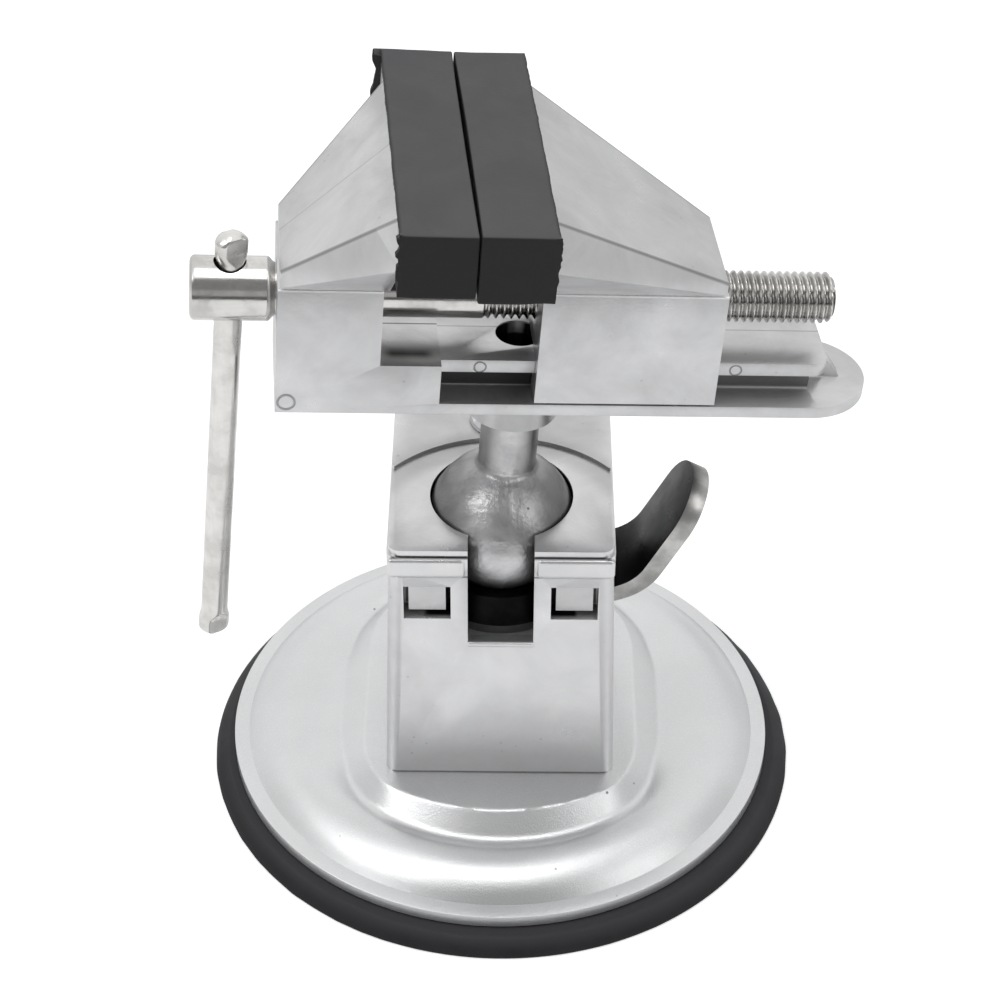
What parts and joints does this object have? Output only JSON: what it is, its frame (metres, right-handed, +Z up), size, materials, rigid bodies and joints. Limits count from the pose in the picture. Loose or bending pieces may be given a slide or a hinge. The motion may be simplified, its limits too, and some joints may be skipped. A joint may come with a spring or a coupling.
{
  "type": "suction base vise",
  "caption": "Small bench vise on a ball joint over a suction cup base, with padded jaws, a lead screw with a sliding bar and a clamping lever.",
  "frame": {"origin": "middle of the base at the underside of the suction cup", "axes": "+Z up; +X to the right of the front, roughly along the lead screw away from its bar; +Y from the slotted front of the block towards its back"},
  "size_m": [0.1342, 0.1254, 0.1587],
  "materials": {
    "cup_rubber": "satin",
    "jaw_rubber": "matte",
    "painted_steel": "fine-grained silver paint",
    "cast_alloy": "satin",
    "raw_casting": "raw, mottled",
    "zinc_steel": "zinc plated",
    "bright_steel": "polished",
    "inner_steel": "satin"
  },
  "bodies": {
    "base": {"suction_cup": "cup_rubber", "base_plate": "painted_steel", "housing": "cast_alloy", "housing_screws": "inner_steel", "clamp_cover": "cast_alloy", "cover_bolt": "bright_steel", "ball_seat": "inner_steel", "seat_pad": "jaw_rubber", "lever_pin": "inner_steel", "lever_washers": "inner_steel", "return_spring": "inner_steel"},
    "ball": {"ball_stud": "raw_casting", "swivel_screw": "inner_steel", "swivel_washer": "inner_steel"},
    "bed": {"vise_bed": "cast_alloy", "screw_pin": "inner_steel", "fixed_jaw_cover": "jaw_rubber"},
    "screw": {"lead_screw": "zinc_steel"},
    "bar": {"tommy_bar": "zinc_steel"},
    "slider": {"moving_jaw": "cast_alloy", "moving_jaw_cover": "jaw_rubber"},
    "lever": {"cam_lever": "zinc_steel"},
    "pull": {"cup_plate": "inner_steel", "pull_rod": "inner_steel", "pull_yoke": "inner_steel", "rod_nut": "inner_steel"}
  },
  "joints": [
    {"name": "ball_tilt", "type": "hinge", "parent": "base", "child": "ball", "pos_m": [0, -0.0064, 0.069], "axis": [0.9977, 0, -0.0678], "range_deg": [-30, 92]},
    {"name": "head_swivel", "type": "hinge", "parent": "ball", "child": "bed", "pos_m": [0, -0.0064, 0.069], "axis": [0.0677, 0.0446, 0.9967], "continuous": true},
    {"name": "screw_turn", "type": "hinge", "parent": "bed", "child": "screw", "pos_m": [-0.05145, -0.00892, 0.12649], "axis": [-0.9935, -0.0887, 0.0715], "range_deg": [0, 9600]},
    {"name": "jaw_slide", "type": "slide", "parent": "bed", "child": "slider", "axis": [0.9935, 0.0887, -0.0715], "range_m": [0, 0.04]},
    {"name": "tommy_bar_slide", "type": "slide", "parent": "screw", "child": "bar", "axis": [0.0989, 0.0088, 0.9951], "range_m": [0, 0.0738]},
    {"name": "lever_turn", "type": "hinge", "parent": "base", "child": "lever", "pos_m": [0, 0, 0.038], "axis": [0, 1, 0], "range_deg": [0, 60]},
    {"name": "pull_slide", "type": "slide", "parent": "base", "child": "pull", "axis": [0, 0, 1], "range_m": [0, 0.0025], "deforming": ["suction_cup", "return_spring"]}
  ],
  "couplings": [
    {"joint": "screw_turn", "follows": "jaw_slide", "rad_per_m": 4188.8},
    {"joint": "pull_slide", "follows": "lever_turn", "m_per_rad": 0.0023873}
  ]
}
